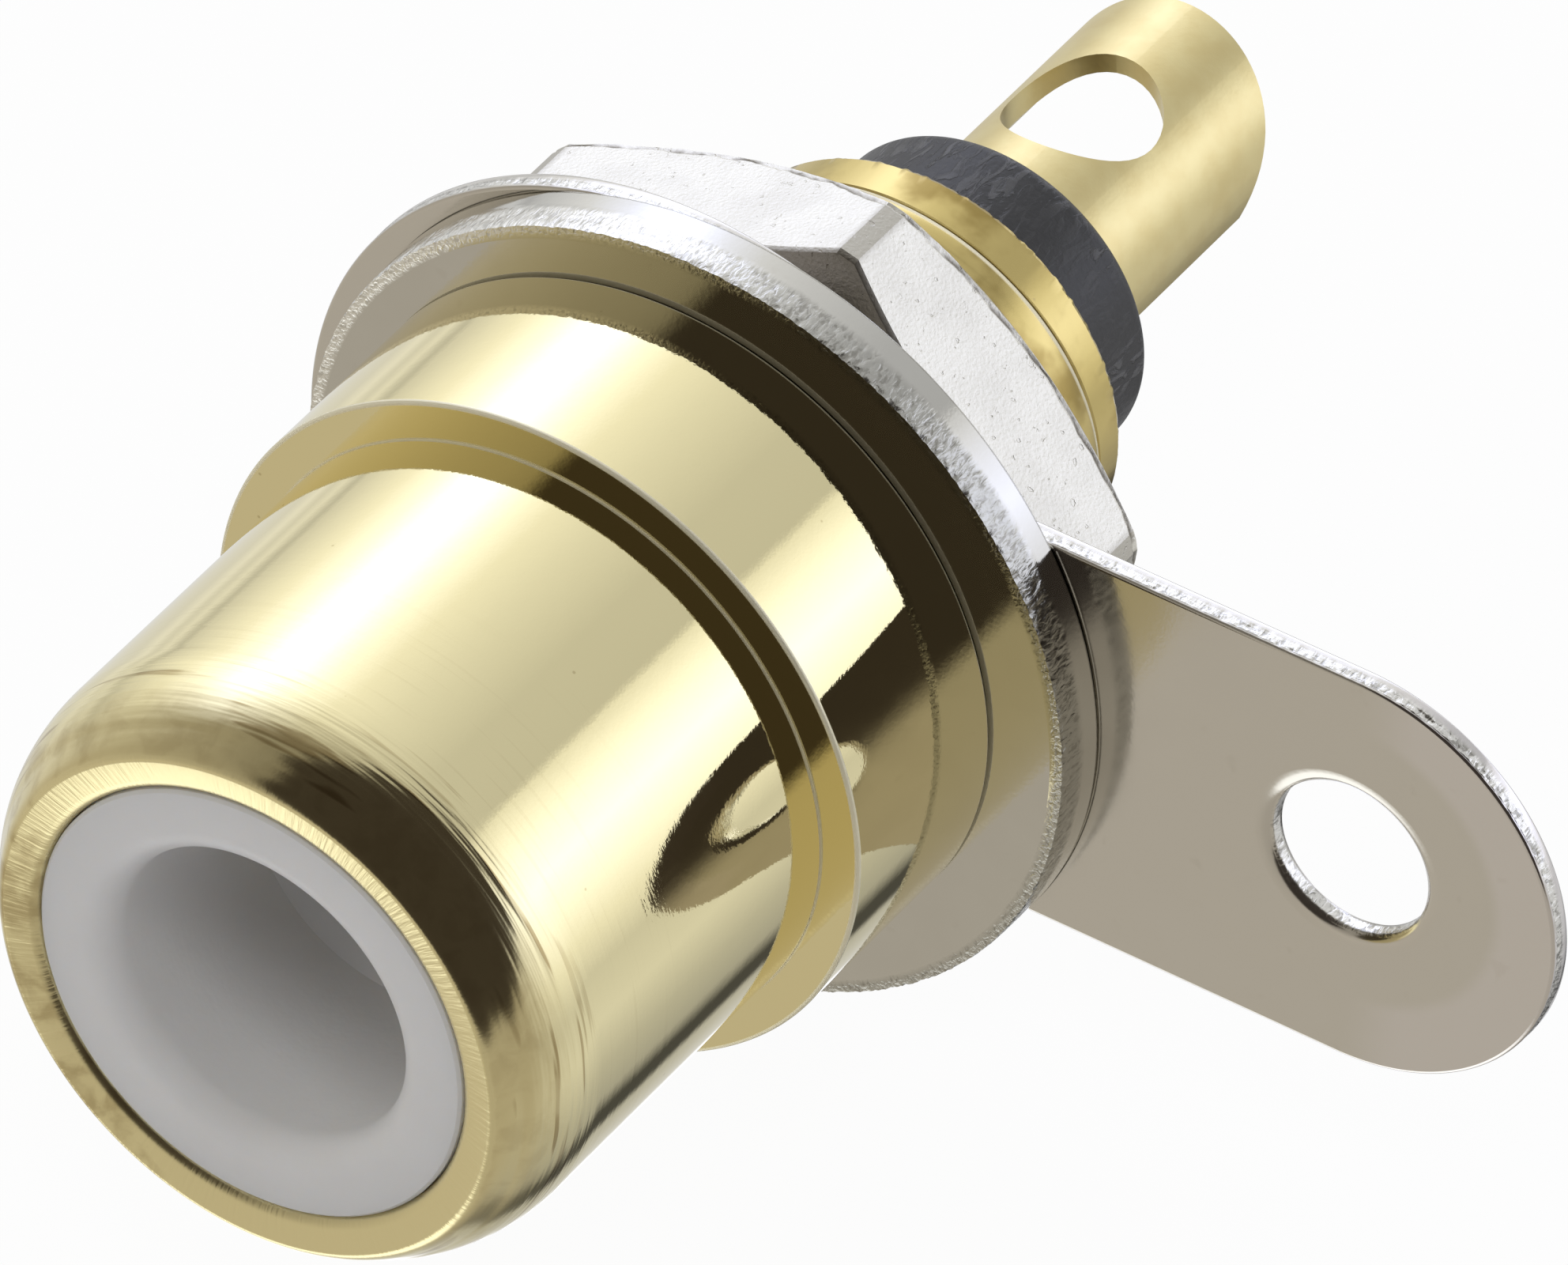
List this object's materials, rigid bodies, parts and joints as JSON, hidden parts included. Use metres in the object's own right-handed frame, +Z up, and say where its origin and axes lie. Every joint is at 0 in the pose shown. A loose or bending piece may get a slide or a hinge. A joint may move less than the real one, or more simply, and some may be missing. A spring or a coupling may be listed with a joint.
{
  "type": "phono panel socket",
  "caption": "Coaxial phono panel socket: gold-plated shouldered barrel, insulated slotted centre contact, threaded shank with washer, solder tag and hexagon nut.",
  "frame": {"origin": "on the socket's axis, in the plane of the shoulder's rear face, where the panel bears", "axes": "+Y along the axis from the plug's mouth towards the solder end, +X the way the solder tag points, +Z up"},
  "size_m": [0.0181, 0.0209, 0.0111],
  "materials": {
    "gold_shell": "gold plate on turned brass, mirror bright, with fine turning lines on the nose",
    "white_insulator": "natural white moulded resin, slightly waxy",
    "black_insulator": "black moulded resin, finely scratched",
    "gold_contact": "gold plate on rolled brass sheet, satin",
    "washer_plate": "bright nickel plate, sheared rim left rough",
    "tag_plate": "nickel plate on stamped brass sheet, smooth face",
    "nut_plate": "satin nickel plate with a fine grain"
  },
  "bodies": {
    "socket": {"shell_body": "gold_shell", "front_insulator": "white_insulator", "rear_insulator": "black_insulator", "centre_contact": "gold_contact"},
    "washer": {"flat_washer": "washer_plate"},
    "tag": {"solder_tag": "tag_plate"},
    "nut": {"hex_nut": "nut_plate"}
  },
  "joints": [
    {"name": "washer_slide", "type": "slide", "parent": "socket", "child": "washer", "axis": [0, 1, 0], "range_m": [0, 0.003]},
    {"name": "nut_turn", "type": "hinge", "parent": "washer", "child": "nut", "pos_m": [0, 0, 0], "axis": [0, 1, 0], "range_deg": [0, 1440.01]},
    {"name": "tag_turn", "type": "hinge", "parent": "washer", "child": "tag", "pos_m": [0, 0, 0], "axis": [0, 1, 0], "continuous": true}
  ],
  "couplings": [
    {"joint": "nut_turn", "follows": "washer_slide", "rad_per_m": 8377.6}
  ]
}
